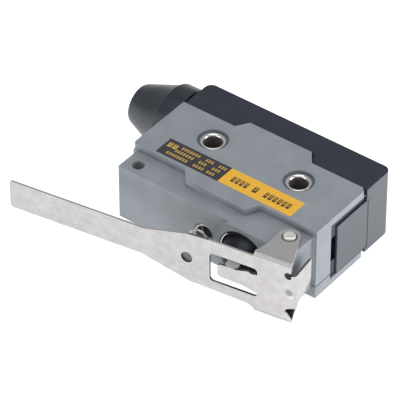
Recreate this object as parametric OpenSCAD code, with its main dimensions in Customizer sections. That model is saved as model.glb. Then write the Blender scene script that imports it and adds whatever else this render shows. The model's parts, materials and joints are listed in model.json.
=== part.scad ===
// Enclosed limit switch with a hinge lever, lying on its mounting side.
// Millimetres. +Z runs up along the mounting holes, +X towards the lever's hinge end, +Y towards the terminal cover.
// The origin is midway between the mounting holes, on the underside.

/* [Case] */
// Length of the case along X
case_length = 54.2; // [53.8:0.1:55]
// Height from the mounting face to the top face
case_height = 20.4; // [20.3:0.05:20.6]
// Distance from the mounting holes' line to the front edge of the top plate
plate_front = 12.5; // [12.4:0.1:12.7]
// Distance from the mounting holes' line to the rear edge of the top plate
plate_rear = 7.2; // [7.1:0.05:7.25]
// Thickness of the top plate
plate_thickness = 2; // [1.6:0.1:2]
// Thickness of the housing's end walls
end_wall = 2.5; // [2.3:0.1:2.6]
// Height of the side plate's rim, where the seam shows
side_plate_rim = 3.35; // [3:0.05:3.4]
// Thickness of the side plate's floor
side_plate_floor = 1.7; // [1.5:0.1:1.75]

/* [Head] */
// Length of the head along X
head_length = 52; // [51:0.2:52.4]
// Front face of the head, from the mounting holes' line
head_front = 19.6; // [19.4:0.1:19.7]
// Height of the head's underside
head_bottom = 2.85; // [2.85:0.05:3]
// Height of the head's top
head_top = 18.45; // [18.3:0.05:18.45]
// Radius of the raised boss round the plunger
boss_r = 9.4; // [9:0.1:9.6]
// How far the boss stands out of the head
boss_height = 1; // [0.8:0.1:1]

/* [Mounting] */
// Distance between the two mounting holes
hole_pitch = 25.4; // [25.4:0.1:25.6]
// Radius of the hole through each bushing
mount_hole_r = 2.15; // [2.1:0.05:2.2]
// Outer radius of each bushing
bushing_r = 2.8; // [2.75:0.05:2.85]
// Radius of each bushing's rolled lip
lip_r = 3.2; // [3.1:0.05:3.3]
// Radius of the recess round each lip
recess_r = 3.9; // [3.8:0.05:4]
// Depth of the recess round each lip
recess_depth = 0.9; // [0.8:0.05:1]

/* [Terminal cover] */
// Rear face of the terminal cover, from the mounting holes' line
cover_rear = 17.6; // [17.4:0.1:17.8]
// Height of the cover's underside
cover_bottom = 0.65; // [0.5:0.05:0.8]
// Height of the cover's top
cover_top = 19.8; // [19.7:0.05:19.9]
// Wall thickness of the cover
cover_wall = 1.6; // [1.5:0.1:1.7]
// Radius of the cover's two rear corners
cover_corner_r = 2; // [1.6:0.1:2.4]

/* [Cable boot] */
// Distance of the boot's axis behind the mounting holes' line
boot_y = 10.3; // [10.2:0.1:10.4]
// Height of the boot's axis
boot_z = 10.2; // [10.1:0.05:10.3]
// Radius of the boot's collar
collar_r = 9.5; // [9.2:0.1:9.6]
// Radius of the boot's cone where it meets the collar
cone_r = 8.9; // [8.6:0.1:9]
// Radius of the boot's outer end
boot_tip_r = 5.3; // [5.1:0.1:5.6]
// Radius of the cable passage
cable_r = 3.5; // [3.2:0.1:3.6]

/* [Plunger] */
// Place of the plunger's axis along X
plunger_x = 11.5; // [11.4:0.1:11.6]
// Radius of the pocket that holds the rubber cap
pocket_r = 6.7; // [6.6:0.05:6.8]
// Radius of the rubber cap's flange
cap_flange_r = 6.5; // [6.4:0.05:6.5]
// Distance of the cap's tip in front of the mounting holes' line
cap_tip = 24.35; // [24.2:0.05:24.35]
// Radius of the metal plunger
plunger_r = 1.5; // [1.4:0.05:1.5]

/* [Lever] */
// Thickness of the lever's sheet
sheet = 0.7; // [0.6:0.05:0.7]
// Angle of the free lever from the case's front
lever_angle = 9; // [8.8:0.1:9.2]
// Length of the lever from the pivot to its free end
lever_reach = 70.6; // [66:0.2:74]
// Distance from the pivot to the lever's outer face
lever_offset = 8.7; // [8.7:0.05:8.8]
// Width of the lever's arm
arm_width = 7.9; // [7.4:0.1:8.2]
// Outer radius of the lever's bends
bend_r = 1.1; // [1:0.05:1.2]
// Distance of each pivot hole from the middle of the case
pivot_x = 22.3; // [22.2:0.1:22.4]
// Distance of the pivot holes in front of the mounting holes' line
pivot_y = 16.6; // [16.5:0.05:16.7]
// Radius of the hinge pin
pin_r = 1.5; // [1.45:0.05:1.5]

/* [Hidden] */
$fn = 48;
// Clearance between parts that are assembled by hand.
gap = 0.1;
half_length = case_length / 2;
inner_length = half_length - end_wall;
plate_bottom = case_height - plate_thickness;
head_half = head_length / 2;
mid_z = (head_top + head_bottom) / 2;
seam_top = side_plate_rim + 0.3;
cavity_front = plate_front - 1.9;
column_r = 4.2;
bushing_x = hole_pitch / 2;
boss_front = head_front + boss_height;
boss_x = 12.5;
tab_rear = 10.5;
// Opening for the end panels.
panel_front = -6.7;
panel_face_front = -4.1;
panel_rear = 8.2;
panel_bottom = 2;
panel_top = 16.5;
ledge_top = 1.9;
pocket_bottom = 17.2;
bush_r = 3;
neck_r = 4.6;
spring_pocket_x = -0.5;
spring_pocket_r = 2.7;
spring_pocket_bottom = 14.5;
screw_x = 21.3;
screw_z = 16.2;
post_half = 2;
screw_r = 1.1;
cover_front = plate_rear + 0.2;
// The lever's ears, above and below the head.
ear_top = head_top + 1;
ear_bottom = 1.15;
ear_from = -4.8;
recess_in_sheet = 0.45;
ear_to = 4.9;
// Contact mechanism, seen from above.
blade_y = -6.05;
blade_thickness = 0.2;
blade_root_x = 20.1;
contact_x = -6;
contact_r = 1.4;
contact_gap = 0.95;
strip = 0.8;
floor_bottom = 3.8;
floor_top = 5.2;
rear_wall_front = 4.6;
rear_wall_rear = 6.3;
terminal_pitch = 15;
terminal_rear = 7.3;
leg_x = 20;
terminal_low = 6.4;
terminal_high = 13.4;
// Colours.
die_cast = [0.57, 0.6, 0.63];
black_plastic = [0.2, 0.21, 0.24];
black_rubber = [0.13, 0.13, 0.15];
stainless = [0.86, 0.85, 0.84];
nickel = [0.85, 0.85, 0.86];
brass_colour = [0.8, 0.66, 0.36];
silver = [0.88, 0.87, 0.85];
phenolic = [0.3, 0.2, 0.16];
label_orange = [0.89, 0.67, 0.24];
label_black = [0.2, 0.19, 0.22];

// A block given by its two opposite corners.
module block(low, high) {
    translate(low)
        cube(high - low);
}

// A cylinder along Y between two distances.
module rod_y(x, z, y_low, y_high, r) {
    translate([x, y_high, z])
        rotate([90, 0, 0])
            cylinder(h = y_high - y_low, r = r);
}

// A turned shape about an axis along Y: points are (radius, distance towards -Y).
module turned_y(x, z, points) {
    translate([x, 0, z])
        rotate([90, 0, 0])
            rotate_extrude()
                polygon(points);
}

// A vertical column at both mounting holes.
module at_both_mounts() {
    for (side = [-1, 1])
        translate([side * bushing_x, 0, 0])
            children();
}

function helix_point(r, turn, pitch) = [r * cos(360 * turn), r * sin(360 * turn), pitch * turn];

// Round wire wound into a helix along +Z from its lower end.
module coil(coil_r, wire_r, turns, height) {
    sides = 6;
    steps = 14;
    count = round(turns * steps);
    pitch = (height - 2 * wire_r) / turns;
    rings = [
        for (i = [0:count])
            let (turn = i / steps, a = 360 * turn, centre = helix_point(coil_r, turn, pitch))
            for (k = [0:sides - 1])
                let (b = 360 * k / sides)
                [
                    centre[0] + wire_r * cos(b) * cos(a),
                    centre[1] + wire_r * cos(b) * sin(a),
                    centre[2] + wire_r * sin(b) + wire_r
                ]
    ];
    sleeve = [
        for (i = [0:count - 1])
            for (k = [0:sides - 1])
                for (half = [0, 1])
                    let (
                        next = (k + 1) % sides,
                        a = i * sides + k,
                        b = i * sides + next,
                        c = (i + 1) * sides + next,
                        d = (i + 1) * sides + k
                    )
                    half == 0 ? [a, d, b] : [b, d, c]
    ];
    first = [for (k = [0:sides - 1]) k];
    last = [for (k = [0:sides - 1]) count * sides + sides - 1 - k];
    polyhedron(points = rings, faces = concat(sleeve, [first, last]), convexity = 10);
}

// A coil along Y from the end nearer the front to the end nearer the rear.
module coil_y(x, z, y_front, y_rear, coil_r, wire_r, turns) {
    translate([x, y_rear, z])
        rotate([90, 0, 0])
            coil(coil_r, wire_r, turns, y_rear - y_front);
}

// Outline of the top plate, with its front bump and its rear tab.
module plate_outline() {
    corner = 1;
    difference() {
        polygon([
            [-half_length, -plate_front], [-11.5, -plate_front], [-8.6, -15.95], [9.1, -15.95],
            [10.5, -13.2], [11.2, -plate_front], [half_length, -plate_front],
            [half_length, plate_rear - corner], [half_length - corner, plate_rear],
            [11.3, plate_rear], [8.8, tab_rear], [-9.45, tab_rear], [-11.65, plate_rear],
            [-half_length, plate_rear]
        ]);
        translate([-half_length - 0.01, -plate_front - 0.01])
            difference() {
                square(corner);
                translate([corner, corner])
                    circle(r = corner);
            }
    }
}

// Space inside the housing, open below and behind, with a column left round each bushing.
module housing_cavity() {
    difference() {
        block([-inner_length, -cavity_front, 0], [inner_length, plate_rear + 1, plate_bottom]);
        at_both_mounts()
            cylinder(h = case_height, r = column_r);
        for (side = [-1, 1])
            block(
                [side * screw_x - post_half, 0, screw_z - post_half],
                [side * screw_x + post_half, rear_wall_rear, plate_bottom + 1]
            );
    }
    for (side = [-1, 1])
        rod_y(side * screw_x, screw_z, 1, plate_rear, screw_r + 0.02);
}

module housing() {
    color(die_cast)
        difference() {
            union() {
                translate([0, 0, plate_bottom])
                    linear_extrude(plate_thickness)
                        plate_outline();
                block([-half_length, -plate_front, seam_top], [half_length, plate_rear, plate_bottom]);
                block([-head_half, -head_front, head_bottom], [head_half, -plate_front, head_top]);
                intersection() {
                    union() {
                        rod_y(boss_x, mid_z, -boss_front, -plate_front, boss_r);
                        block([boss_x, -boss_front, 0], [head_half, -plate_front, case_height]);
                    }
                    block([0, -boss_front, head_bottom], [head_half, 0, head_top]);
                }
            }
            housing_cavity();
            // Openings for the two end panels.
            block(
                [-half_length - 1, panel_front, 0],
                [half_length + 1, plate_rear + 1, plate_bottom - 0.001]
            );
            at_both_mounts()
                union() {
                    cylinder(h = case_height + 1, r = bushing_r + 0.02);
                    translate([0, 0, case_height - recess_depth])
                        cylinder(h = 2, r = recess_r);
                }
            rod_y(plunger_x, mid_z, -boss_front - 1, -pocket_bottom, pocket_r);
            rod_y(plunger_x, mid_z, -pocket_bottom - 1, 0 - cavity_front + 1, bush_r + 0.01);
            rod_y(spring_pocket_x, mid_z, -boss_front - 1, -spring_pocket_bottom, spring_pocket_r);
            for (side = [-1, 1])
                translate([side * pivot_x, -pivot_y, 0])
                    cylinder(h = case_height, r = pin_r + 0.02);
        }
}

module side_plate_outline() {
    polygon([
        [-half_length, -plate_front], [half_length, -plate_front],
        [half_length, 6], [half_length - 1, 7], [-half_length + 1, 7], [-half_length, 6]
    ]);
}

module side_plate() {
    color(die_cast)
        difference() {
            linear_extrude(side_plate_rim)
                side_plate_outline();
            difference() {
                block([-inner_length, -cavity_front, side_plate_floor], [inner_length, 5.2, 5]);
                at_both_mounts()
                    cylinder(h = 6, r = column_r);
            }
            for (side = [-1, 1])
                block(
                    [side > 0 ? inner_length - 0.01 : -half_length - 1, panel_front, ledge_top],
                    [side > 0 ? half_length + 1 : -inner_length + 0.01, 8, 5]
                );
            at_both_mounts()
                union() {
                    translate([0, 0, -1])
                        cylinder(h = 6, r = bushing_r + 0.02);
                    translate([0, 0, -1])
                        cylinder(h = 1.5, r = lip_r + 0.02);
                }
        }
}

module plate_gasket() {
    color(black_rubber)
        difference() {
            block(
                [-half_length + 0.15, -plate_front + 0.15, side_plate_rim],
                [half_length - 0.15, 6.85, seam_top]
            );
            difference() {
                block([-inner_length, -cavity_front, 0], [inner_length, 5.2, 5]);
                at_both_mounts()
                    cylinder(h = 6, r = column_r);
            }
            for (side = [-1, 1])
                block(
                    [side > 0 ? inner_length - 0.01 : -half_length - 1, panel_front, 0],
                    [side > 0 ? half_length + 1 : -inner_length + 0.01, 8, 5]
                );
            at_both_mounts()
                cylinder(h = 6, r = bushing_r + 0.02);
        }
}

// Tube with a rolled lip at each end and a flared mouth.
module bushing() {
    lip_top = case_height - 0.4;
    color(nickel)
        rotate_extrude()
            polygon([
                [mount_hole_r, 0], [lip_r, 0], [lip_r, 0.5], [bushing_r, 0.5],
                [bushing_r, lip_top - 0.5], [lip_r - 0.1, lip_top - 0.5], [lip_r, lip_top - 0.35],
                [lip_r, lip_top - 0.15], [lip_r - 0.15, lip_top], [mount_hole_r + 0.35, lip_top],
                [mount_hole_r + 0.15, lip_top - 0.15], [mount_hole_r, lip_top - 0.6]
            ]);
}

module bushing_boot_end() {
    translate([-bushing_x, 0, 0])
        bushing();
}

module bushing_hinge_end() {
    translate([bushing_x, 0, 0])
        bushing();
}

// Moulded panel that fills the hinge end's opening: a flush face with a recessed flange round it.
module end_panel() {
    flange_x = half_length - 0.45;
    difference() {
        union() {
            block([inner_length, panel_face_front, panel_bottom], [half_length, panel_rear, panel_top]);
            block(
                [inner_length, panel_front + gap / 2, panel_bottom],
                [flange_x, plate_rear, plate_bottom - gap / 2]
            );
        }
        block([inner_length - 1, panel_front + 0.25, 6.8], [half_length + 1, panel_face_front - 0.15, 13.9]);
    }
}

module hinge_end_panel() {
    color(black_plastic)
        end_panel();
}

module cable_end_panel() {
    color(black_plastic)
        difference() {
            mirror([1, 0, 0])
                end_panel();
            translate([-half_length - 1, boot_y, boot_z])
                rotate([0, 90, 0])
                    cylinder(h = 6, r = neck_r + 0.06);
        }
}

module cover_outline(inset) {
    r = cover_corner_r - inset;
    x = half_length - inset;
    y = cover_rear - inset;
    translate([-x, cover_front])
        square([2 * x, y - r - cover_front]);
    translate([-x + r, cover_front])
        square([2 * (x - r), y - cover_front]);
    for (side = [-1, 1])
        translate([side * (x - r), y - r])
            circle(r = r);
}

module terminal_cover() {
    color(black_plastic)
        difference() {
            translate([0, 0, cover_bottom])
                linear_extrude(cover_top - cover_bottom)
                    cover_outline(0);
            difference() {
                translate([0, 0, cover_bottom + cover_wall])
                    linear_extrude(cover_top - cover_bottom - 2 * cover_wall)
                        cover_outline(cover_wall);
                for (side = [-1, 1])
                    rod_y(side * screw_x, screw_z, 9.5, cover_rear, 2.4);
            }
            block(
                [-half_length + cover_wall, cover_front - 1, cover_bottom + cover_wall],
                [half_length - cover_wall, cover_front + 1, cover_top - cover_wall]
            );
            // Clearance for the end panels and for the housing's rear tab.
            for (side = [-1, 1])
                block(
                    [side > 0 ? inner_length - 0.5 : -half_length - 1, 7, panel_bottom - gap],
                    [side > 0 ? half_length + 1 : -inner_length + 0.5, panel_rear + gap, panel_top + gap]
                );
            translate([0, gap, cover_top - cover_wall - gap])
                linear_extrude(3)
                    polygon([
                        [-11.8, 6.8], [-9.5, tab_rear + gap], [8.9, tab_rear + gap], [11.5, 6.8]
                    ]);
            // Mouth for the boot's neck, open towards the case.
            translate([-half_length - 1, boot_y, boot_z])
                rotate([0, 90, 0])
                    cylinder(h = 5, r = neck_r + 0.06);
            block(
                [-half_length - 1, 7, boot_z - neck_r - 0.06],
                [-half_length + cover_wall + 0.01, boot_y, boot_z + neck_r + 0.06]
            );
            for (side = [-1, 1]) {
                rod_y(side * screw_x, screw_z, 7, cover_rear + 1, screw_r + 0.2);
                rod_y(side * screw_x, screw_z, 15.8, cover_rear + 1, 2.25);
            }
        }
}

module cover_gasket() {
    outer = inner_length - 0.4;
    low = seam_top + 0.35;
    high = plate_bottom - 0.2;
    band = 0.8;
    color(black_rubber)
        difference() {
            block([-outer, rear_wall_rear + gap, low], [outer, plate_rear, high]);
            block([-outer + band, 0, low + band], [outer - band, 10, high - band]);
            block([-outer - 1, 0, low + band], [-outer + band + 0.5, 10, high - band]);
        }
}

// Cheese-headed screw along Y, its head towards the rear, with a cross recess.
module screw_y(x, z, y_tip, y_seat, shank_r, head_r, head_height) {
    difference() {
        union() {
            rod_y(x, z, y_tip, y_seat + 0.01, shank_r);
            rod_y(x, z, y_seat, y_seat + head_height, head_r);
        }
        for (turn = [0, 90])
            translate([x, y_seat + head_height, z])
                rotate([0, turn, 0])
                    cube([head_r * 1.2, head_height, 0.5], center = true);
    }
}

module cover_screws() {
    color(nickel)
        for (side = [-1, 1])
            screw_y(side * screw_x, screw_z, 2, 15.8, screw_r, 2.1, 1.4);
}

module cable_boot() {
    tip_x = -43.3;
    collar_x = -33;
    neck_x = -half_length - gap;
    color(black_rubber)
        translate([0, boot_y, boot_z])
            rotate([0, 90, 0])
                rotate_extrude()
                    polygon([
                        [cable_r, tip_x], [boot_tip_r - 0.5, tip_x], [boot_tip_r - 0.15, tip_x + 0.15],
                        [boot_tip_r, tip_x + 0.5], [cone_r, collar_x], [collar_r - 0.3, collar_x],
                        [collar_r, collar_x + 0.3], [collar_r, -28.2], [collar_r - 0.3, -27.9],
                        [7.5, -27.9], [7.5, neck_x], [neck_r, neck_x], [neck_r, -inner_length - 0.05],
                        [5.6, -inner_length + gap], [5.6, -24.1], [5.3, -23.8], [cable_r, -23.8]
                    ]);
}

module label_black_half() {
    color(label_black)
        block([-20.9, -11.7, case_height], [-2.45, -5.8, case_height + 0.04]);
}

module label_orange_half() {
    color(label_orange)
        block([-2.45, -11.7, case_height], [18.8, -5.8, case_height + 0.04]);
}

// Flat outline of the lever's sheet: distance from the free end, then height.
module lever_sheet_outline() {
    arm_low = mid_z - arm_width / 2;
    arm_high = mid_z + arm_width / 2;
    ear_low = ear_bottom + bend_r;
    ear_high = ear_top - bend_r;
    ear_start = lever_reach + ear_from;
    ear_end = lever_reach + ear_to;
    difference() {
        polygon([
            [0, arm_low + 0.9], [0.25, arm_low + 0.25], [0.9, arm_low], [35.8, arm_low],
            [48.9, 3.4], [64.2, 3.05], [ear_start, ear_low], [ear_end, ear_low], [74.2, 3.9],
            [73.95, 4.3], [73.95, 4.8], [74.3, 5.3], [75.6, 6.05], [75.6, 16], [ear_end, 16.1],
            [ear_end, ear_high], [ear_start, ear_high], [65.1, 18.06], [53.9, 18.1], [48.5, 17.75],
            [36.75, arm_high], [0.4, arm_high], [0, arm_high - 0.4]
        ]);
        // Relief notch beside the end flap, and the window.
        translate([74.8, 15.65])
            circle(r = 1);
        translate([74.8, 15.65])
            square([2, 0.95]);
        difference() {
            window_outline();
            polygon([[56.3, 8.6], [56.9, 8.15], [63, 8], [67, 7], [67, 12.7], [65.3, 12.3], [64.3, 12.75],
                [63, 12.4], [61.5, 11.9], [57, 11.84], [56.3, 11.4]]);
        }
    }
}

module window_outline() {
    low = [54.2, 5.9];
    high = [66.8, 14.4];
    r = 1;
    translate([low[0], low[1] + r])
        square([high[0] - low[0], high[1] - low[1] - 2 * r]);
    translate([low[0] + r, low[1]])
        square([high[0] - low[0] - 2 * r, high[1] - low[1]]);
    for (x = [low[0] + r, high[0] - r])
        for (z = [low[1] + r, high[1] - r])
            translate([x, z])
                circle(r = r);
}

// Quarter bend of the sheet along X: its outer corner lies at the origin.
module bend_section() {
    intersection() {
        difference() {
            circle(r = bend_r);
            circle(r = bend_r - sheet);
        }
        translate([-bend_r, 0])
            square(bend_r);
    }
}

// One ear, lying flat: the outline round the pin's hole, seen from above with the pin at the origin.
module ear_outline() {
    root = -lever_offset + bend_r;
    difference() {
        union() {
            translate([-0.15, 0.05])
                circle(r = 2.8);
            polygon([
                [ear_from, root], [ear_to, root], [4.15, -5.1], [3.5, -2.4], [2.62, 0.3], [-2.7, 1.2],
                [-2.95, -0.4], [-3.4, -3.9], [-4.35, -7]
            ]);
        }
        circle(r = pin_r + 0.06);
    }
}

// The lever about its pivot, with its sheet along X.
module lever_shape() {
    face = -lever_offset + sheet;
    fold_x = 5;
    difference() {
        translate([-lever_reach, face, 0])
            rotate([90, 0, 0])
                linear_extrude(sheet)
                    lever_sheet_outline();
        // Blind recess over the return spring.
        rod_y(48.16 - lever_reach, 10.5, -lever_offset - 1, -lever_offset + recess_in_sheet, 1.5);
    }
    // Upper and lower ears with their bends.
    translate([ear_from, -lever_offset + bend_r, ear_top - bend_r])
        rotate([90, 0, 90])
            linear_extrude(ear_to - ear_from)
                bend_section();
    translate([ear_from, -lever_offset + bend_r, ear_bottom + bend_r])
        mirror([0, 0, 1])
            rotate([90, 0, 90])
                linear_extrude(ear_to - ear_from)
                    bend_section();
    for (z = [ear_bottom, ear_top - sheet])
        translate([0, 0, z])
            linear_extrude(sheet)
                ear_outline();
    // End flap with its fold.
    translate([fold_x, -lever_offset + bend_r, 6.05])
        linear_extrude(15.9 - 6.05)
            rotate([0, 0, 180])
                bend_section();
    translate([fold_x + bend_r - sheet, 0, 0])
        rotate([90, 0, 90])
            linear_extrude(sheet)
                polygon([
                    [-lever_offset + bend_r, 6.05], [-7.2, 6.8], [-5.9, 7.6], [-4, 7.7], [-0.6, 9.6],
                    [-0.5, 15.45], [-0.75, 15.55], [-lever_offset + bend_r, 15.9]
                ]);
    // Striker tab on the tongue's upper edge, which bears on the plunger's cap.
    block([57.8 - lever_reach, face - 0.01, 11.14], [61.2 - lever_reach, face + 1.8, 11.84]);
}

module lever() {
    color(stainless)
        translate([pivot_x, -pivot_y, 0])
            rotate([0, 0, lever_angle])
                lever_shape();
}

module hinge_pin() {
    color(nickel)
        translate([pivot_x, -pivot_y, 0])
            rotate_extrude()
                polygon([
                    [0, 0.6], [pin_r - 0.15, 0.6], [pin_r, 0.75], [pin_r, 19.85],
                    [pin_r - 0.25, 20.1], [0, 20.1]
                ]);
}

module lever_spring() {
    color(stainless)
        coil_y(spring_pocket_x, mid_z, -27.9, -spring_pocket_bottom - 0.02, 2.25, 0.23, 7);
}

module plunger_cap() {
    color(black_rubber)
        turned_y(plunger_x, mid_z, [
            [3.7, pocket_bottom], [cap_flange_r, pocket_bottom], [cap_flange_r, 19.7], [6.2, 19.95],
            [5.6, 20], [5.4, 21], [5.1, 22], [4.4, 23.1], [3.4, 23.95], [2.4, cap_tip - 0.15],
            [1.2, cap_tip], [0, cap_tip], [0, cap_tip - 0.85], [2.3, cap_tip - 0.9],
            [3.4, 22.6], [4.1, 21.6], [4.4, 20.4], [4.4, 18.6], [3.7, 18.4]
        ]);
}

module cap_retaining_ring() {
    color(nickel)
        translate([plunger_x, -20.28, mid_z])
            rotate([90, -133, 0])
                rotate_extrude(angle = 215)
                    translate([6.3, 0])
                        circle(r = 0.24);
}

module plunger() {
    color(stainless)
        turned_y(plunger_x, mid_z, [
            [0, 9], [0.6, 9], [0.6, 9.8], [plunger_r - 0.1, 9.8], [plunger_r, 9.9],
            [plunger_r, 22], [2.1, 22], [2.1, 22.9], [1.5, 23.4], [0, 23.4]
        ]);
}

module plunger_bush() {
    color(brass_colour)
        turned_y(plunger_x, mid_z, [
            [plunger_r + 0.03, cavity_front], [bush_r, cavity_front], [bush_r, pocket_bottom],
            [3.5, pocket_bottom], [3.5, pocket_bottom + 0.8], [plunger_r + 0.03, pocket_bottom + 0.8]
        ]);
}

module plunger_spring() {
    color(stainless)
        coil_y(plunger_x, mid_z, -21.95, -pocket_bottom - 0.85, 1.95, 0.18, 4.5);
}

module overtravel_spring() {
    color(stainless)
        coil_y(plunger_x, mid_z, -9.75, blade_y - blade_thickness / 2 - 0.05, 1, 0.14, 4);
}

module snap_blade() {
    low = mid_z - 2.25;
    high = mid_z + 2.25;
    front = blade_y - blade_thickness / 2;
    rear = blade_y + blade_thickness / 2;
    color(brass_colour)
        difference() {
            union() {
                block([contact_x - 2.2, front, low], [blade_root_x, rear, high]);
                translate([blade_root_x, blade_y, low])
                    cylinder(h = high - low, r = 0.15);
            }
            block([-2.6, -9, mid_z - 1.2], [6.2, 0, mid_z + 1.2]);
            rod_y(contact_x, mid_z, -9, 0, 0.8);
        }
}

// Bowed leaf in the blade's window, which drives the snap.
module snap_spring() {
    reach = 4.3;
    bow_r = 5.2;
    thickness = 0.2;
    sweep = 2 * asin(reach / bow_r);
    color(stainless)
        translate([1.8, blade_y - sqrt(bow_r * bow_r - reach * reach), mid_z - 1])
            rotate([0, 0, 90 - sweep / 2])
                rotate_extrude(angle = sweep)
                    translate([bow_r - thickness, 0])
                        square([thickness, 2]);
}

module moving_contact() {
    head = 0.6;
    front = blade_y - blade_thickness / 2;
    rear = blade_y + blade_thickness / 2;
    color(silver)
        union() {
            rod_y(contact_x, mid_z, front - head, front, contact_r);
            rod_y(contact_x, mid_z, front - 0.1, rear + 0.1, 0.78);
            rod_y(contact_x, mid_z, rear, rear + head, contact_r);
        }
}

module normally_closed_contact() {
    face = blade_y - blade_thickness / 2 - 0.6 - 0.06;
    color(silver)
        union() {
            rod_y(contact_x, mid_z, face - 0.8, face, contact_r);
            rod_y(contact_x, mid_z, face - 0.8 - strip, face - 0.5, 0.7);
        }
}

module normally_open_contact() {
    face = blade_y + blade_thickness / 2 + 0.6 + contact_gap + 0.1;
    color(silver)
        union() {
            rod_y(contact_x, mid_z, face, face + 0.8, contact_r);
            rod_y(contact_x, mid_z, face + 0.5, face + 0.8 + strip, 0.7);
        }
}

// Screw plate at the rear with a tapped hole, shared by the three terminals.
module terminal_tail(x) {
    difference() {
        block(
            [x - 3.6, rear_wall_rear + 0.02, terminal_low],
            [x + 3.6, terminal_rear, terminal_high]
        );
        rod_y(x, mid_z - 0.6, 0, 10, 1.27);
    }
}

module common_terminal() {
    slot = 0.22;
    color(brass_colour)
        difference() {
            union() {
                block([leg_x - 0.6, blade_y - 1.1, floor_top], [leg_x + 0.8, blade_y + 1.1, 13.4]);
                block([leg_x, blade_y, floor_top + 1], [leg_x + strip, terminal_rear, 12.4]);
                terminal_tail(terminal_pitch);
                block([terminal_pitch, rear_wall_rear + 0.02, 8], [leg_x + strip, terminal_rear, 12]);
            }
            block([leg_x - 1, blade_y - slot, mid_z - 2.35], [leg_x + 0.35, blade_y + slot, mid_z + 2.35]);
            rod_y(terminal_pitch, mid_z - 0.6, 0, 10, 1.27);
        }
}

module normally_open_terminal() {
    front = blade_y + blade_thickness / 2 + 0.6 + contact_gap + 0.9;
    color(brass_colour)
        difference() {
            union() {
                block([contact_x - 1.8, front, floor_top], [-2.2, front + strip, 13.4]);
                block([-3, front, floor_top + 1], [-2.2, terminal_rear, 12.4]);
                terminal_tail(0);
            }
            rod_y(contact_x, mid_z, -9, 4, 0.72);
        }
}

module normally_closed_terminal() {
    rear = blade_y - blade_thickness / 2 - 0.6 - 0.06 - 0.8;
    color(brass_colour)
        difference() {
            union() {
                block([-leg_x - strip, rear - strip, floor_top], [contact_x + 1.8, rear, 13.4]);
                block([-leg_x - strip, rear - strip, floor_top + 1], [-leg_x, terminal_rear, 12.4]);
                terminal_tail(-terminal_pitch);
                block([-leg_x - strip, rear_wall_rear + 0.02, 8], [-terminal_pitch, terminal_rear, 12]);
            }
            rod_y(contact_x, mid_z, -12, -4, 0.72);
            rod_y(-terminal_pitch, mid_z - 0.6, 0, 10, 1.27);
        }
}

// Insulating base: a floor, a rear wall that the terminals pass through, and barriers between them.
module contact_base() {
    wall_x = 22.8;
    color(phenolic)
        difference() {
            union() {
                block([-wall_x, -cavity_front + 0.3, floor_bottom], [wall_x, rear_wall_rear, floor_top]);
                block([-wall_x, rear_wall_front, floor_bottom], [wall_x, rear_wall_rear, 13.9]);
                block([-18.9, rear_wall_front, 13.8], [18.9, rear_wall_rear, 18]);
                for (x = [-terminal_pitch / 2, terminal_pitch / 2])
                    block([x - 0.6, rear_wall_front, floor_bottom + 1.4], [x + 0.6, 12.5, 16.5]);
            }
            at_both_mounts()
                cylinder(h = case_height, r = column_r + 0.1);
            // Slots for the three terminals' legs.
            for (x = [leg_x, -3, -leg_x - strip])
                block([x - 0.03, 0, floor_top], [x + strip + 0.03, 10, 12.43]);
            for (x = [-terminal_pitch, 0, terminal_pitch])
                rod_y(x, mid_z - 0.6, 5, 10, 1.35);
        }
}

module terminal_screws() {
    color(nickel)
        for (x = [-terminal_pitch, 0, terminal_pitch])
            screw_y(x, mid_z - 0.6, 5.2, terminal_rear + 0.5, 1.25, 2.5, 1.6);
}

module terminal_washers() {
    color(nickel)
        for (x = [-terminal_pitch, 0, terminal_pitch])
            difference() {
                block([x - 2.9, terminal_rear, mid_z - 3.5], [x + 2.9, terminal_rear + 0.5, mid_z + 2.3]);
                rod_y(x, mid_z - 0.6, 5, 10, 1.35);
            }
}

housing();
side_plate();
plate_gasket();
bushing_boot_end();
bushing_hinge_end();
hinge_end_panel();
cable_end_panel();
terminal_cover();
cover_gasket();
cover_screws();
cable_boot();
label_black_half();
label_orange_half();
lever();
hinge_pin();
lever_spring();
plunger_cap();
cap_retaining_ring();
plunger();
plunger_bush();
plunger_spring();
overtravel_spring();
snap_blade();
snap_spring();
moving_contact();
contact_base();
common_terminal();
normally_open_terminal();
normally_closed_terminal();
normally_open_contact();
normally_closed_contact();
terminal_screws();
terminal_washers();
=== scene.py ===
"""Looks of an enclosed limit switch with a hinge lever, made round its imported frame."""

import json
import math

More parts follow.
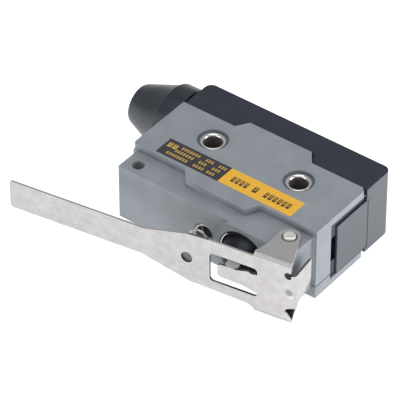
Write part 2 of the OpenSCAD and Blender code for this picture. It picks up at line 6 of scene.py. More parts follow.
import bmesh
import bpy
from mathutils import Matrix, Vector
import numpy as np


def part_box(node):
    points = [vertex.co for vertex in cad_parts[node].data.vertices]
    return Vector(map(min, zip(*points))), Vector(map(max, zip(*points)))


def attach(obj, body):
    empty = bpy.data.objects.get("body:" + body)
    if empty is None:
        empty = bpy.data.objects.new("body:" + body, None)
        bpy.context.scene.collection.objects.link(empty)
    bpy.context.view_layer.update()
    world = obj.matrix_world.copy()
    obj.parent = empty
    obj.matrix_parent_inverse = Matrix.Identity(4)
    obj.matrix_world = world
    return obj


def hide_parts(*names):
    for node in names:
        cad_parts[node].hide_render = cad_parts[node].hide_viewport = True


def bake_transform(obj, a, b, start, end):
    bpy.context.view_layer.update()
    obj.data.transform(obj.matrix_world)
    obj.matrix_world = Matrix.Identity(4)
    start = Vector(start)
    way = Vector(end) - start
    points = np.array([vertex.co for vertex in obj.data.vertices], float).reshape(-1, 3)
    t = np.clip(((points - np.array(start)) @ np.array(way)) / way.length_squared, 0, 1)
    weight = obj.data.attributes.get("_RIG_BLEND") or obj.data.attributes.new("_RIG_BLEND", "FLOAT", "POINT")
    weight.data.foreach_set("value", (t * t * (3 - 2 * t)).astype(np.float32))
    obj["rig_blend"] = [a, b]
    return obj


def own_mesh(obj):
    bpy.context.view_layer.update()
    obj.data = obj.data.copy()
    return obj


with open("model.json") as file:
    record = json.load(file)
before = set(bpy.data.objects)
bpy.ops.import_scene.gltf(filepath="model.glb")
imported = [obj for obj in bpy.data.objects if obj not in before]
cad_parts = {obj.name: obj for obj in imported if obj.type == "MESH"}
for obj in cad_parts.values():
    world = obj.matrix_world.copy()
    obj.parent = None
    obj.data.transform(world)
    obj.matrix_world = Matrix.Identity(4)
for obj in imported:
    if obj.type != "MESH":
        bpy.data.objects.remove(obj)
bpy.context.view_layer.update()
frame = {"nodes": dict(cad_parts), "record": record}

MM = 0.001
UP = Vector((0, 0, 1))
ALONG = Vector((1, 0, 0))
BACK = Vector((0, 1, 0))

# Places that the pieces share, taken from the frame.
case_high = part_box("housing")[1]
cap_low, cap_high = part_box("plunger_cap")
pin_low, pin_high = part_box("hinge_pin")
cap_middle = Vector(((cap_low.x + cap_high.x) / 2, 0, (cap_low.z + cap_high.z) / 2))
joints = {joint["name"]: joint for joint in frame["record"]["behaviour"]["joints"]}
pivot = Vector(joints["lever_hinge"]["pos_m"])

# The lever's slant when it is free, and how far its sheet's outer face lies in front of the pivot.
LEVER_ANGLE = math.radians(9)
SHEET_FACE = -8.7

# Heights and places in millimetres that the case's finishes follow.
HOLE_OFFSET = 12.7
HEAD_TOP = 18.45
CASE_TOP = 20.4
COVER_FRONT = 7.2
PANEL_FACE_FRONT = -4.1
PANEL_FACE_TOP = 16.5

# The slightly blue tint of a reflection in black plastic or rubber.
COOL = (0.84, 0.9, 1, 1)


# ---------------------------------------------------------------- shader arithmetic


class Value:
    """One output in a material's tree; arithmetic on it adds Math nodes."""

    def __init__(self, finish, socket):
        self.finish = finish
        self.socket = socket

    def math(self, operation, *others):
        inputs = dict(enumerate((self, *others)))
        return self.finish.node("ShaderNodeMath", {"operation": operation}, inputs)

    def __add__(self, other):
        return self.math("ADD", other)

    def __sub__(self, other):
        return self.math("SUBTRACT", other)

    def __rsub__(self, other):
        inputs = {0: other, 1: self}
        return self.finish.node("ShaderNodeMath", {"operation": "SUBTRACT"}, inputs)

    def __mul__(self, other):
        return self.math("MULTIPLY", other)

    def __truediv__(self, other):
        return self.math("DIVIDE", other)

    def __pow__(self, other):
        return self.math("POWER", other)

    def __lt__(self, other):
        return self.math("LESS_THAN", other)

    def __gt__(self, other):
        return self.math("GREATER_THAN", other)

    __radd__ = __add__
    __rmul__ = __mul__

    def clamped(self):
        return self.finish.node("ShaderNodeClamp", {}, {"Value": self})

    def ramp(self, low, high, start=0.0, end=1.0):
        """Runs smoothly from start to end as this value goes from low to high."""
        return self.finish.node(
            "ShaderNodeMapRange",
            {"interpolation_type": "SMOOTHSTEP"},
            {"Value": self, "From Min": low, "From Max": high, "To Min": start, "To Max": end},
        )

    def within(self, low, high):
        return (self > low) * (self < high)

    def near(self, centre, width):
        """1 at the centre, falling evenly to 0 at the width either side of it."""
        return (1 - (self - centre).math("ABSOLUTE") / width).clamped()


class Finish:
    """A material being made, with the object's own coordinates in millimetres."""

    def __init__(self, name):
        self.material = bpy.data.materials.new(name)
        self.material.use_nodes = True
        self.tree = self.material.node_tree
        self.tree.nodes.clear()
        coordinates = self.node("ShaderNodeTexCoord", {}, {}, "Object")
        scaled = {0: coordinates, "Scale": 1 / MM}
        self.place = self.node("ShaderNodeVectorMath", {"operation": "SCALE"}, scaled)

    def node(self, kind, settings=None, sockets=None, output=0):
        """Adds a node, sets it up, fills its sockets and returns one of its outputs."""
        made = self.tree.nodes.new(kind)
        for key, setting in (settings or {}).items():
            setattr(made, key, setting)
        for key, value in (sockets or {}).items():
            if isinstance(value, Value):
                self.tree.links.new(value.socket, made.inputs[key])
            else:
                made.inputs[key].default_value = value
        return Value(self, made.outputs[output])

    def axis(self, name):
        return self.node("ShaderNodeSeparateXYZ", {}, {0: self.place}, name)

    def stretched(self, x, y, z):
        """The coordinates in millimetres, each axis times its own factor."""
        sockets = {0: self.place, 1: (x, y, z)}
        return self.node("ShaderNodeVectorMath", {"operation": "MULTIPLY"}, sockets)

    def turned(self, angle):
        """The coordinates turned about the upright axis."""
        sockets = {"Vector": self.place, "Rotation": (0, 0, angle)}
        return self.node("ShaderNodeMapping", {"vector_type": "POINT"}, sockets)

    def noise(self, per_mm, detail=3.0, roughness=0.5, place=None):
        sockets = {
            "Vector": place or self.place,
            "Scale": per_mm,
            "Detail": detail,
            "Roughness": roughness,
        }
        return self.node("ShaderNodeTexNoise", {}, sockets)

    def cells(self, per_mm, place=None):
        sockets = {"Vector": place or self.place, "Scale": per_mm}
        return self.node("ShaderNodeTexVoronoi", {}, sockets)

    def from_upright(self, x, y):
        """Distance in millimetres from an upright line."""
        across = self.axis("X") - x
        back = self.axis("Y") - y
        return (across * across + back * back) ** 0.5

    def from_mount(self):
        """Distance in millimetres from the nearer mounting hole's axis."""
        across = self.axis("X").math("ABSOLUTE") - HOLE_OFFSET
        back = self.axis("Y")
        return (across * across + back * back) ** 0.5

    def away_from(self, spot):
        """Distance in millimetres from a place."""
        sockets = {0: self.place, 1: spot}
        return self.node("ShaderNodeVectorMath", {"operation": "DISTANCE"}, sockets, 1)

    def facing_up(self):
        """How far a face leans from upright: 0 on a wall, 1 on a level face."""
        normal = self.node("ShaderNodeNewGeometry", {}, {}, "Normal")
        return self.node("ShaderNodeSeparateXYZ", {}, {0: normal}, "Z").math("ABSOLUTE")

    def rounded_edge(self):
        """1 on the rounded edges of a filleted piece, 0 elsewhere."""
        return self.node("ShaderNodeAttribute", {"attribute_name": "rounded_edge"}, {}, "Fac")

    def cut(self):
        """1 on the sheet's sheared edges, 0 elsewhere."""
        return self.node("ShaderNodeAttribute", {"attribute_name": "cut"}, {}, "Fac")

    def mix(self, factor, first, second):
        """A colour between two colours."""
        colours = {0: factor, 6: self.colour(first), 7: self.colour(second)}
        return self.node("ShaderNodeMix", {"data_type": "RGBA"}, colours, 2)

    def colour(self, value):
        return value if isinstance(value, Value) else (*value, 1)

    def bump(self, height, depth_mm, strength=1.0):
        sockets = {"Height": height, "Distance": depth_mm * MM, "Strength": strength}
        return self.node("ShaderNodeBump", {}, sockets)

    def done(self, colour, roughness, normal, metallic=0.0, **fixed):
        """Adds the shader: fixed holds values that are the same all over the surface."""
        sockets = {
            "Base Color": self.colour(colour),
            "Roughness": roughness,
            "Normal": normal,
            "Metallic": metallic,
        }
        named = {key.replace("_", " "): value for key, value in fixed.items()}
        shader = self.node("ShaderNodeBsdfPrincipled", {}, {**sockets, **named})
        surface = self.tree.nodes.new("ShaderNodeOutputMaterial")
        self.tree.links.new(shader.socket, surface.inputs["Surface"])
        return self.material


# ---------------------------------------------------------------- finishes


def die_cast_paint():
    """Satin grey enamel over a die casting: a fine skin, faint mottling, rounded edges painted lighter as
    rubbed paint and as a painted highlight, and painted shade in the recesses.
    """
    f = Finish("grey_die_cast")
    mottle = f.noise(0.16, 4)
    skin = f.noise(2.6, 5, 0.6)
    grain = f.noise(11, 2)
    edge = f.rounded_edge() * f.noise(0.9, 3).ramp(0.3, 0.58)
    base = f.mix(mottle.ramp(0.3, 0.7), (0.262, 0.287, 0.315), (0.3, 0.327, 0.357))
    specks = f.mix((grain > 0.66) * 0.35, base, (0.36, 0.385, 0.41))
    # Rounded edges painted lighter: partly rubbed paint, partly a painted highlight.
    colour = f.mix(edge * 0.7, specks, (0.54, 0.56, 0.58))
    # Painted shade in the bushing recesses and at the foot of the head's step.
    colour = f.mix(painted_recess_shade(f) * 0.55, colour, (0.12, 0.135, 0.155))
    roughness = 0.46 + 0.1 * skin - 0.1 * edge
    return f.done(colour, roughness, f.bump(skin + 0.5 * grain, 0.02, 0.5), 0.12)


def painted_recess_shade(f):
    """Painted shade in the recesses round the bushings and along the foot of the step on the head."""
    head_rear = -12.3
    height = f.axis("Z")
    recess = f.from_mount().within(3.0, 3.92) * height.within(CASE_TOP - 1.1, CASE_TOP - 0.2)
    fade = height.ramp(HEAD_TOP + 0.25, CASE_TOP - 0.2, 1.0, 0.0)
    foot = fade * (height > HEAD_TOP + 0.02) * (f.axis("Y") < head_rear)
    return (recess + 1.1 * foot).clamped()


def painted_seam_shade(f):
    """Painted shade: a dark line where the terminal cover meets the case's top and its rear tab."""
    tab_middle, tab_half, tab_rear, lean = -0.2, 11.5, 10.5, 0.72
    squared = 1 / math.hypot(1, lean)
    y = f.axis("Y")
    out = y - COVER_FRONT
    flank = (f.axis("X") - tab_middle).math("ABSOLUTE") - (tab_half - lean * out)
    tab = (squared * flank).math("MAXIMUM", y - tab_rear)
    away = out.math("MINIMUM", tab)
    return away.ramp(0.25, 0.75, 1.0, 0.0) * (f.axis("Z") > 17)


def panel_step(f):
    """1 on the sunken strip in front of and above an end panel's raised face, which lies in shade."""
    return (f.axis("Y") < PANEL_FACE_FRONT).math("MAXIMUM", f.axis("Z") > PANEL_FACE_TOP)


def moulded_black(name, base, highlight, gloss, seam_shade_amount=0.0, stepped=0.0):
    """Satin black moulding with a fine spark texture and slightly polished edges, its upright faces and
    edges painted lighter as painted light.
    """
    f = Finish(name)
    texture = f.noise(7, 4, 0.6)
    flow = f.noise(0.12, 2)
    edge = f.rounded_edge()
    colour = f.mix(flow.ramp(0.3, 0.7), base, highlight)
    # Upright faces are painted lighter than level ones: painted light.
    upright = 1 - f.facing_up().ramp(0.1, 0.8)
    colour = f.mix(upright * (0.8 + 0.2 * texture), colour, (0.072, 0.076, 0.09))
    # Rounded edges painted lighter as a painted highlight; their lower roughness is the polish.
    colour = f.mix(edge * 0.5, colour, tuple(1.6 * part for part in highlight))
    roughness = gloss + 0.12 * texture - 0.08 * edge
    if seam_shade_amount:
        # Painted shade along the cover's seam with the case.
        colour = f.mix(painted_seam_shade(f) * seam_shade_amount, colour, (0.002, 0.002, 0.003))
        roughness = roughness + 0.5 * painted_seam_shade(f)
    strip_shade = 0.0
    # Painted shade on the panel's sunken strip, also made metallic so that it reflects dark.
    if stepped:
        strip_shade = panel_step(f) * stepped
        colour = f.mix(strip_shade, colour, (0.02, 0.023, 0.034))
    normal = f.bump(texture, 0.015, 0.45)
    return f.done(colour, roughness, normal, strip_shade, Specular_IOR_Level=0.55, Specular_Tint=COOL)


def soft_rubber(name, base, dust, shine=0.7):
    """Moulded rubber: low gloss, with a little bloom and fine pits."""
    f = Finish(name)
    bloom = f.noise(0.35, 4, 0.6)
    pits = f.noise(5, 3)
    colour = f.mix(bloom.ramp(0.35, 0.75) * 0.6, base, dust)
    roughness = 0.31 + 0.13 * bloom
    normal = f.bump(pits + bloom, 0.02, 0.5)
    return f.done(colour, roughness, normal, Specular_IOR_Level=shine, Specular_Tint=COOL)


def rolled_stainless():
    """Stamped stainless sheet: rolling lines along it and faint mottling, with painted highlight on its
    rounded edges and level faces and painted shade on its sheared faces and crevices.
    """
    f = Finish("rolled_stainless")
    along = f.turned(-LEVER_ANGLE)
    stretch = {0: along, 1: (0.08, 3.0, 3.0)}
    streaks = f.node("ShaderNodeVectorMath", {"operation": "MULTIPLY"}, stretch)
    lines = f.noise(2.2, 3, 0.6, streaks)
    mottle = f.noise(0.45, 5, 0.6)
    edge = f.rounded_edge()
    tone = 0.35 * lines + 0.65 * mottle
    dent, rim = dimple(f)
    colour = f.mix(tone.ramp(0.35, 0.65), (0.41, 0.397, 0.391), (0.5, 0.488, 0.482))
    # Level faces painted lighter as painted light.
    colour = f.mix(f.facing_up().ramp(0.7, 1.0) * 0.7, colour, (0.68, 0.66, 0.65))
    colour = f.mix(dent * 0.75, colour, (0.2, 0.19, 0.19))
    colour = f.mix(rim * 0.6, colour, (0.68, 0.67, 0.66))
    # Rounded edges painted lighter as a painted highlight; they are also a little smoother.
    colour = f.mix(edge * 0.7, colour, (0.8, 0.79, 0.78))
    # Painted shade along the bends and round the hinge pin.
    colour = f.mix(painted_bend_and_pin_shade(f) * 0.85, colour, (0.12, 0.115, 0.11))
    # Sheared faces are rougher, and painted dark as painted shade.
    colour = f.mix(f.cut() * (1 - edge) * 0.8, colour, (0.1, 0.095, 0.1))
    colour = f.mix(spring_recess(f) * 0.9, colour, (0.1, 0.098, 0.105))
    # Painted shade on the lower ear's faces that point up.
    under = (f.axis("Z") < 2.2) * f.facing_up().ramp(0.6, 0.95)
    colour = f.mix(under * 0.9, colour, (0.05, 0.047, 0.05))
    # The striker tab painted pale and less metallic as painted light.
    tab_light = striker(f)
    colour = f.mix(tab_light, colour, (0.62, 0.6, 0.59))
    roughness = 0.3 + 0.14 * mottle - 0.12 * edge + 0.2 * f.cut()
    height = lines + 0.8 * mottle
    return f.done(colour, roughness, f.bump(height, 0.02, 0.4), 1.0 - 0.85 * tab_light)


def on_lever(x, y, z):
    """A place in millimetres from the free lever's pivot, x along its sheet."""
    spot = pivot / MM + Matrix.Rotation(LEVER_ANGLE, 3, "Z") @ Vector((x, y, 0))
    return (spot.x, spot.y, z)


def spring_recess(f):
    """Shade in the round recess over the return spring, with one lit spot."""
    radius = 1.52
    middle = on_lever(-22.44, SHEET_FACE, 10.5)
    lit = on_lever(-21.5, SHEET_FACE, 11.4)
    inside = f.away_from(middle) < radius
    return inside * (1 - 0.8 * f.away_from(lit).ramp(0.15, 0.6, 1.0, 0.0))


def striker(f):
    """1 on the striker tab that bears on the cap, which is painted pale and less metallic as painted light.
    """
    near_tab = f.away_from(on_lever(-11.1, -7.0, 11.9)) < 1.75
    return near_tab * f.axis("Z").within(11.0, 12.0)


def painted_bend_and_pin_shade(f):
    """Painted shade: dark lines where the ears' bends start and end, and a dark gap round the hinge pin."""
    steep = f.facing_up()
    bends = steep.near(0.93, 0.065) + 0.8 * steep.near(0.22, 0.16)
    ring = f.from_upright(pivot.x / MM, pivot.y / MM).within(1.4, 1.92)
    gap = ring * (f.axis("Z") > HEAD_TOP + 0.05)
    return (bends * (1 - f.rounded_edge()) + 1.1 * gap).clamped()


def dimple(f):
    """Shade and bright rim of the small dent pressed beside the end flap's fold."""
    dent = f.away_from(on_lever(4.5, SHEET_FACE, 10.7)).ramp(0.55, 1.25, 1.0, 0.0)
    glint = f.away_from(on_lever(4.9, SHEET_FACE, 9.7)).ramp(0.4, 1.1, 1.0, 0.0)
    return dent, (glint - dent).clamped()


def bright_metal(name, light, dark, roughness, along=(1.0, 1.0, 1.0), metallic=1.0):
    """Bare or plated metal with fine turning or drawing marks."""
    f = Finish(name)
    marks = f.noise(6, 4, 0.6, f.stretched(*along))
    stain = f.noise(0.5, 3)
    colour = f.mix(stain.ramp(0.3, 0.7), dark, light)
    rough = roughness + 0.1 * marks + 0.06 * stain
    return f.done(colour, rough, f.bump(marks, 0.01, 0.3), metallic)


def plated_bushing():
    """Bright nickel plate outside and on the lips, with a dark unlit bore."""
    f = Finish("bushing_plate")
    marks = f.noise(6, 4)
    bore = (f.from_mount() < 2.3) * (f.axis("Z") < CASE_TOP - 0.65)
    plate = f.mix(marks, (0.78, 0.77, 0.75), (0.68, 0.67, 0.65))
    colour = f.mix(bore, plate, (0.075, 0.06, 0.06))
    rough = 0.16 + 0.08 * marks + 0.5 * bore
    return f.done(colour, rough, f.bump(marks, 0.01, 0.3), 1 - bore)


def marks_in_row(f, start, count, period, share, low, high):
    """A row of small generic marks on the label, running along it."""
    x = f.axis("X")
    y = f.axis("Y")
    along = (x - start) / period
    part = along.math("FRACT")
    row = y.within(low, high) * x.within(start, start + count * period)
    hollow = part.within(share * 0.3, share * 0.7) * y.within(low * 0.7 + high * 0.3, high)
    return row * (part < share) * (1 - 0.55 * hollow)


def printed_label(name, ground, shade, ink, rows):
    """Printed foil: a ground colour, generic ink marks and a slight orange peel."""
    f = Finish(name)
    peel = f.noise(1.6, 3)
    colour = f.mix(f.noise(0.3, 2), ground, shade)
    for row in rows:
        colour = f.mix(marks_in_row(f, *row), colour, ink)
    return f.done(colour, 0.38 + 0.1 * peel, f.bump(peel, 0.01, 0.3), Specular_IOR_Level=0.4)


def moulded_phenolic():
    """Brown thermoset with dark flecks of filler."""
    f = Finish("brown_phenolic")
    flecks = f.cells(1.8)
    cloud = f.noise(0.4, 4)
    colour = f.mix(cloud, (0.075, 0.036, 0.022), (0.12, 0.06, 0.038))
    colour = f.mix((flecks < 0.18) * 0.6, colour, (0.03, 0.018, 0.012))
    return f.done(colour, 0.4 + 0.2 * cloud, f.bump(cloud + flecks, 0.02, 0.4))


# Groups of small marks on the dark half, by the front edge of their row: start and count.
SMALL_GROUPS = {
    -10.9: ((-18.6, 8), (-10.6, 4), (-6.6, 3)),
    -9.2: ((-17.2, 7), (-10.2, 3), (-6.2, 3)),
    -7.6: ((-16.4, 7), (-9.2, 3), (-5.4, 3)),
}
SMALL_HEIGHT = 0.95

# A row is its start, its count, its period, the marks' share of it, and its front and rear edges.
BLACK_ROWS = [
    (start, count, 0.8, 0.62, low, low + SMALL_HEIGHT)
    for low, groups in SMALL_GROUPS.items()
    for start, count in groups
]
BLACK_ROWS.append((-20.1, 2, 1.5, 0.75, -8.6, -6.9))
ORANGE_ROWS = [
    (-0.2, 4, 1.25, 0.7, -9.95, -7.85),
    (6.1, 1, 1.5, 0.8, -9.95, -7.85),
    (9.4, 6, 1.3, 0.7, -9.95, -7.85),
]

grey = die_cast_paint()
cover_black = moulded_black(
    "cover_black", (0.015, 0.018, 0.03), (0.02, 0.023, 0.037), 0.26, seam_shade_amount=0.95
)
panel_black = moulded_black(
    "panel_black", (0.02, 0.023, 0.034), (0.027, 0.03, 0.042), 0.26, stepped=0.7
)
boot_rubber = soft_rubber("boot_rubber", (0.006, 0.008, 0.014), (0.014, 0.017, 0.027), 0.7)
cap_rubber = soft_rubber("cap_rubber", (0.003, 0.004, 0.007), (0.006, 0.008, 0.013), 0.45)
seal_rubber = soft_rubber("seal_rubber", (0.01, 0.01, 0.011), (0.02, 0.02, 0.022))
stainless = rolled_stainless()
bushing_plate = plated_bushing()
nickel = bright_metal("nickel_plate", (0.85, 0.84, 0.82), (0.72, 0.71, 0.7), 0.14)
pin_steel = bright_metal("turned_steel", (0.86, 0.85, 0.82), (0.72, 0.71, 0.68), 0.34, (1, 1, 4), 0.6)
spring_steel = bright_metal("spring_wire", (0.8, 0.79, 0.77), (0.62, 0.61, 0.6), 0.16)
brass = bright_metal("rolled_brass", (0.72, 0.5, 0.2), (0.6, 0.4, 0.16), 0.24, (0.2, 3, 3))
silver = bright_metal("contact_silver", (0.9, 0.89, 0.87), (0.72, 0.71, 0.7), 0.2)
phenolic = moulded_phenolic()
label_black = printed_label(
    "label_black", (0.033, 0.03, 0.037), (0.045, 0.041, 0.05), (0.62, 0.4, 0.08), BLACK_ROWS
)
label_orange = printed_label(
    "label_orange", (0.84, 0.45, 0.035), (0.89, 0.5, 0.05), (0.05, 0.028, 0.02), ORANGE_ROWS
)


# ---------------------------------------------------------------- shaping


def placed(bm, name, material, body, nodes=()):
    """Makes a piece of a mesh: faces outwards, rounds shaded smooth, riding on its body."""
    bmesh.ops.recalc_face_normals(bm, faces=bm.faces)
    mesh = bpy.data.meshes.new(name)
    bm.to_mesh(mesh)
    bm.free()
    mesh.shade_smooth()
    mesh.set_sharp_from_angle(angle=math.radians(38))
    mesh.materials.append(material)
    piece = bpy.data.objects.new(name, mesh)
    bpy.context.scene.collection.objects.link(piece)
    if body:
        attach(piece, body)
    if nodes:
        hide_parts(*nodes)
    return piece


def solid_copy(node):
    """A CAD node's mesh joined up, with its flat faces whole again."""
    bm = bmesh.new()
    bm.from_mesh(frame["nodes"][node].data)
    bmesh.ops.remove_doubles(bm, verts=bm.verts, dist=0.0005 * MM)
    bmesh.ops.dissolve_degenerate(bm, dist=0.0005 * MM, edges=bm.edges)
    flat = math.radians(0.4)
    bmesh.ops.dissolve_limit(bm, angle_limit=flat, verts=bm.verts, edges=bm.edges)
    return bm


def round_edges(bm, radius, segments=3, wanted=None):
    """Rounds the outward edges and sets the new faces to 1 in the rounded_edge layer."""
    rounded_edge = bm.faces.layers.float.get("rounded_edge") or bm.faces.layers.float.new("rounded_edge")
    steep = math.radians(40)
    edges = [
        edge
        for edge in bm.edges
        if len(edge.link_faces) == 2
        and edge.calc_face_angle_signed() > steep
        and (wanted is None or wanted(edge))
    ]
    made = bmesh.ops.bevel(
        bm,
        geom=edges,
        offset=radius,
        offset_type="OFFSET",
        segments=segments,
        profile=0.5,
        affect="EDGES",
        clamp_overlap=True,
        material=-1,
    )
    for face in made["faces"]:
        face[rounded_edge] = 1.0
    return bm


def flats_kept(piece):
    """Lets the large flat faces decide the shading at their rounded edges."""
    shading = piece.modifiers.new("flats", "WEIGHTED_NORMAL")
    shading.mode = "FACE_AREA"
    shading.weight = 90
    shading.keep_sharp = True


def filleted(node, material, radius, segments=3, wanted=None):
    """A case node's shape with its outward edges rounded."""
    bm = round_edges(solid_copy(node), radius * MM, segments, wanted)
    flats_kept(placed(bm, node + "_finished", material, "case", [node]))


def softened(profile, radius, steps=4):
    """A profile with its inner corners turned into short curves."""
    points = [Vector(point) for point in profile]
    curved = [points[0]]
    for before, corner, after in zip(points, points[1:], points[2:]):
        reach = min(radius, (before - corner).length * 0.45, (after - corner).length * 0.45)
        start = corner + (before - corner).normalized() * reach
        end = corner + (after - corner).normalized() * reach
        for step in range(steps + 1):
            t = step / steps
            curved.append(start * (1 - t) ** 2 + corner * 2 * t * (1 - t) + end * t * t)
    return curved + [points[-1]]


def turned(profile, centre, axis, steps=96, closed=False):
    """Turns a profile of (radius, distance along the axis), in millimetres."""
    bm = bmesh.new()
    side = axis.orthogonal().normalized()
    ring = [bm.verts.new(centre + side * r * MM + axis * d * MM) for r, d in profile]
    pairs = list(zip(ring, ring[1:])) + ([(ring[-1], ring[0])] if closed else [])
    edges = [bm.edges.new(pair) for pair in pairs]
    bmesh.ops.spin(
        bm, geom=ring + edges, cent=centre, axis=axis, angle=math.tau, steps=steps, use_merge=True
    )
    bmesh.ops.remove_doubles(bm, verts=bm.verts, dist=0.0005 * MM)
    bmesh.ops.dissolve_degenerate(bm, dist=0.0005 * MM, edges=bm.edges)
    return bm


def wound(start, axis, coil_radius, wire, turns, length):
    """A compression spring with closed end turns, wound along an axis from its start."""
    per_turn = 36
    bm = bmesh.new()
    side = axis.orthogonal().normalized()
    across = axis.cross(side)
    origin = start + axis * wire * MM
    disc = bmesh.ops.create_circle(bm, segments=14, radius=wire * MM)
    turn = Matrix((side, axis, across)).transposed().to_4x4()
    shift = Matrix.Translation(origin + side * coil_radius * MM)
    bmesh.ops.transform(bm, matrix=shift @ turn, verts=disc["verts"])
    geometry = list(bm.verts) + list(bm.edges)
    closed_rise = 2.1 * wire
    rise = (length - 2 * wire - 2 * closed_rise) / (turns - 2)
    for count, pitch in ((1, closed_rise), (turns - 2, rise), (1, closed_rise)):
        steps = round(count * per_turn)
        swept = bmesh.ops.spin(
            bm,
            geom=geometry,
            cent=start,
            axis=axis,
            dvec=axis * pitch * MM * count / steps,
            angle=math.tau * count,
            steps=steps,
            use_merge=False,
        )
        geometry = swept["geom_last"]
    bmesh.ops.remove_doubles(bm, verts=bm.verts, dist=0.0001 * MM)
    bmesh.ops.holes_fill(bm, edges=bm.edges, sides=0)
    return bm


# ---------------------------------------------------------------- case


def round_the_face(edge):
    """Picks an end panel's edges that lie in its outer face."""
    face_x = case_high.x - 0.02 * MM
    return all(abs(vert.co.x) > face_x for vert in edge.verts)


def make_case():
    filleted("housing", grey, 0.4)
    filleted("side_plate", grey, 0.3)
    filleted("terminal_cover", cover_black, 0.45)
    for node in ("hinge_end_panel", "cable_end_panel"):
        filleted(node, panel_black, 0.2, wanted=round_the_face)
    filleted("cover_screws", nickel, 0.12, segments=2)


def make_bushings():
    """Tubular bushings with rolled lips and flared mouths."""
    for node in ("bushing_boot_end", "bushing_hinge_end"):
        low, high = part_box(node)
        centre = Vector(((low.x + high.x) / 2, 0, 0))
        top = high.z / MM
        bore, tube, lip = 2.15, 2.8, 3.2
        profile = [
            (bore, 0), (lip - 0.05, 0), (lip, 0.1), (lip, 0.45), (tube, 0.5), (tube, top - 0.6),
            (lip - 0.2, top - 0.5), (lip, top - 0.3), (lip - 0.05, top - 0.1),
            (lip - 0.25, top), (lip - 0.45, top - 0.02), (bore + 0.3, top - 0.2),
            (bore + 0.1, top - 0.5), (bore, top - 0.9),
        ]
        outline = softened(profile, 0.12, 3)
        body = turned(outline, centre, UP, 72, True)
        placed(body, node + "_turned", bushing_plate, "case", [node])


def make_boot():
    """Rubber cable boot: a cone with a rounded mouth, a collar and a neck with a flange."""
    low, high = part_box("cable_boot")
    centre = Vector((0, (low.y + high.y) / 2, (low.z + high.z) / 2))
    tip = low.x / MM
    inner = high.x / MM
    bore, mouth, cone, spigot, neck, flange = 3.5, 5.3, 8.9, 7.5, 4.6, 5.6
    collar = (high.y - low.y) / 2 / MM
    collar_start, collar_end, wall = -32.95, -27.9, -27.2
    profile = [
        (bore, tip + 1), (bore, tip + 0.1), (bore + 0.3, tip), (mouth - 0.4, tip),
        (mouth, tip + 0.45), (7.1, tip + 5.2), (cone, collar_start - 0.15), (9.4, collar_start),
        (collar, collar_start + 0.25), (collar, collar_end - 0.3), (9.2, collar_end),
        (spigot, collar_end), (spigot, wall), (neck, wall), (neck, -24.65), (flange, -24.5),
        (flange, -24.1), (flange - 0.3, inner), (bore, inner),
    ]
    outline = softened(profile, 0.35, 4)
    body = turned(outline, centre, ALONG, 128, True)
    placed(body, "cable_boot_moulded", boot_rubber, "case", ["cable_boot"])


def make_labels():
    for node, ink in (("label_black_half", label_black), ("label_orange_half", label_orange)):
        frame["nodes"][node].data.materials.clear()
        frame["nodes"][node].data.materials.append(ink)


# ---------------------------------------------------------------- lever and plunger


def mark_cut_edges(bm):
    """Marks the narrow sheared faces of the lever's sheet."""
    rounded_edge = bm.faces.layers.float["rounded_edge"]
    cut = bm.faces.layers.float.new("cut")
    back_turn = Matrix.Rotation(-LEVER_ANGLE, 3, "Z")
    for face in bm.faces:
        narrow = 2 * face.calc_area() / face.calc_perimeter() < 0.55 * MM
        middle = back_turn @ (face.calc_center_median() - pivot)
        facing = back_turn @ face.normal
        in_sheet = 2.3 * MM < face.calc_center_median().z < 18.2 * MM
        sheared = abs(facing.z) > 0.9 or (abs(facing.y) < 0.3 and middle.x < 4 * MM)
        if narrow and in_sheet and sheared and face[rounded_edge] < 0.5:
            face[cut] = 1.0


def make_lever():
    bm = round_edges(solid_copy("lever"), 0.1 * MM, 2)
    mark_cut_edges(bm)
    flats_kept(placed(bm, "lever_finished", stainless, "lever", ["lever"]))
    centre = Vector((pivot.x, pivot.y, 0))
    low, high = pin_low.z / MM, pin_high.z / MM
    shank = 1.5
    profile = [
        (0, low), (shank - 0.15, low), (shank, low + 0.15), (shank, high - 0.3),
        (shank - 0.1, high - 0.12), (shank - 0.35, high - 0.02), (0.6, high), (0, high),
    ]
    body = turned(softened(profile, 0.1, 3), centre, UP, 64)
    placed(body, "hinge_pin_turned", pin_steel, "case", ["hinge_pin"])


def make_lever_spring():
    low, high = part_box("lever_spring")
    start = Vector(((low.x + high.x) / 2, high.y, (low.z + high.z) / 2))
    length = (high.y - low.y) / MM
    spring = placed(
        wound(start, -BACK, 2.2, 0.24, 7, length), "lever_spring_wound", spring_steel,
        "case", ["lever_spring"],
    )
    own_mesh(spring)


def make_plunger_cap():
    """Rubber cap: a flange in the pocket and a dome that follows the plunger."""
    tip = -cap_low.y / MM
    profile = [
        (3.7, 17.25), (6.45, 17.25), (6.5, 19.6), (6.2, 19.95), (5.65, 20.05), (5.4, 21),
        (5.1, 22), (4.4, 23.1), (3.4, 23.95), (2.4, tip - 0.12), (1.2, tip), (0, tip),
    ]
    inside = [
        (0, tip - 0.85), (2.3, tip - 0.95), (3.4, 22.6), (4.1, 21.6), (4.4, 20.4), (4.4, 18.6),
        (3.7, 18.4),
    ]
    outline = softened(profile, 0.3, 4) + softened(inside, 0.2, 3) + [Vector((3.7, 17.25))]
    cap = placed(
        turned(outline, cap_middle, -BACK, 96), "plunger_cap_moulded", cap_rubber, None,
        ["plunger_cap"],
    )
    start = cap_middle - BACK * 20 * MM
    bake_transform(cap, "case", "plunger", start=start, end=start - BACK * 3.4 * MM)


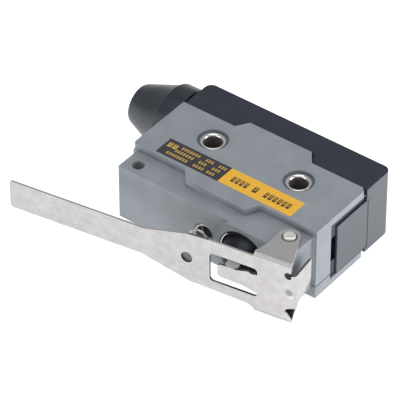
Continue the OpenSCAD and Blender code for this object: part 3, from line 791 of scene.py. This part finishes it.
def make_retaining_ring():
    """Open wire ring that holds the cap's flange."""
    wire, ring_radius = 0.24 * MM, 6.28 * MM
    start_angle, sweep, quarter = (math.radians(angle) for angle in (-43, -215, 90))
    low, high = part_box("cap_retaining_ring")
    centre = cap_middle + BACK * (low.y + high.y) / 2
    bm = bmesh.new()
    disc = bmesh.ops.create_circle(bm, segments=16, radius=wire)
    upright = Matrix.Rotation(quarter, 4, "Z") @ Matrix.Rotation(quarter, 4, "X")
    start = Matrix.Rotation(start_angle, 4, "Y") @ Matrix.Translation(UP * ring_radius)
    bmesh.ops.transform(bm, matrix=Matrix.Translation(centre) @ start @ upright, verts=disc["verts"])
    bmesh.ops.spin(
        bm,
        geom=list(bm.verts) + list(bm.edges),
        cent=centre,
        axis=BACK,
        angle=sweep,
        steps=90,
        use_merge=False,
    )
    bmesh.ops.holes_fill(bm, edges=bm.edges, sides=0)
    placed(bm, "cap_ring_wire", spring_steel, "case", ["cap_retaining_ring"])


def make_plunger_spring(node, body, coil_radius, wire, turns):
    """One of the two springs on the plunger's axis, which shortens as the plunger goes in."""
    low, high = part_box(node)
    start = cap_middle + BACK * high.y
    bm = wound(start, -BACK, coil_radius, wire, turns, (high.y - low.y) / MM)
    spring = placed(bm, node + "_wound", spring_steel, body, [node])
    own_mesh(spring)


# ---------------------------------------------------------------- inner parts


INNER = {
    "plate_gasket": seal_rubber,
    "cover_gasket": seal_rubber,
    "plunger": pin_steel,
    "plunger_bush": brass,
    "snap_blade": brass,
    "snap_spring": spring_steel,
    "moving_contact": silver,
    "normally_open_contact": silver,
    "normally_closed_contact": silver,
    "contact_base": phenolic,
    "common_terminal": brass,
    "normally_open_terminal": brass,
    "normally_closed_terminal": brass,
    "terminal_screws": nickel,
    "terminal_washers": nickel,
}


def finish_inner_parts():
    for node, material in INNER.items():
        mesh = frame["nodes"][node].data
        mesh.materials.clear()
        mesh.materials.append(material)


# ---------------------------------------------------------------- studio


def make_floor():
    bm = bmesh.new()
    bmesh.ops.create_grid(bm, x_segments=1, y_segments=1, size=3.0)
    f = Finish("pale_floor")
    cloud = f.noise(0.01, 2)
    colour = f.mix(cloud, (0.9, 0.9, 0.9), (0.92, 0.92, 0.92))
    glow = {"Emission_Color": (1, 1, 1, 1), "Emission_Strength": 0.75}
    floor = placed(bm, "floor", f.done(colour, 0.9, f.bump(cloud, 0.01, 0.1), **glow), None)


def softbox(name, direction, distance, size, power, aim=(0, 0, 0)):
    """A square light that faces a point from a direction, and isn't seen itself."""
    lamp = bpy.data.lights.new(name, "AREA")
    lamp.shape = "SQUARE"
    lamp.size = size
    lamp.energy = power
    holder = bpy.data.objects.new(name, lamp)
    towards = Vector(direction).normalized()
    holder.matrix_world = (
        Matrix.Translation(Vector(aim) + towards * distance)
        @ towards.to_track_quat("Z", "Y").to_matrix().to_4x4()
    )
    holder.visible_camera = False
    bpy.context.scene.collection.objects.link(holder)


def make_lights():
    """Even white surroundings, soft lights overhead and in front, and a small one by the hinge end."""
    world = bpy.data.worlds.new("studio")
    world.use_nodes = True
    background = world.node_tree.nodes["Background"]
    background.inputs["Color"].default_value = (0.97, 0.98, 1, 1)
    background.inputs["Strength"].default_value = 0.5
    bpy.context.scene.world = world
    softbox("overhead_light", (0.1, -0.2, 1.0), distance=1.0, size=0.8, power=2.9)
    softbox("front_light", (-0.5, -1.0, 0.35), distance=0.9, size=0.6, power=1.7)
    beside = (0.09, 0.045, 0)
    softbox("floor_light", (1.0, 0.5, 0.75), distance=0.2, size=0.12, power=0.29, aim=beside)


def make_camera():
    """A long lens from the lever's side, above the hinge end."""
    azimuth, elevation, roll = (math.radians(angle) for angle in (37.763, 40.171, -0.214))
    target = Vector((-8.554, -10.522, 10.65)) * MM
    distance = 794.59 * MM
    turn = (
        Matrix.Rotation(azimuth, 4, "Z")
        @ Matrix.Rotation(math.pi / 2 - elevation, 4, "X")
        @ Matrix.Rotation(roll, 4, "Z")
    )
    lens = bpy.data.cameras.new("camera")
    lens.sensor_width = 36
    lens.lens = 300.2
    lens.clip_start = 0.01
    camera = bpy.data.objects.new("camera", lens)
    camera.matrix_world = Matrix.Translation(target) @ turn @ Matrix.Translation(UP * distance)
    bpy.context.scene.collection.objects.link(camera)
    bpy.context.scene.camera = camera
    bpy.context.scene.view_settings.view_transform = "Standard"


make_case()
make_bushings()
make_boot()
make_labels()
make_lever()
make_lever_spring()
make_plunger_cap()
make_retaining_ring()
make_plunger_spring("plunger_spring", "case", 1.95, 0.18, 4.5)
make_plunger_spring("overtravel_spring", "contact_blade", 1.0, 0.14, 4)
finish_inner_parts()
make_floor()
make_lights()
make_camera()
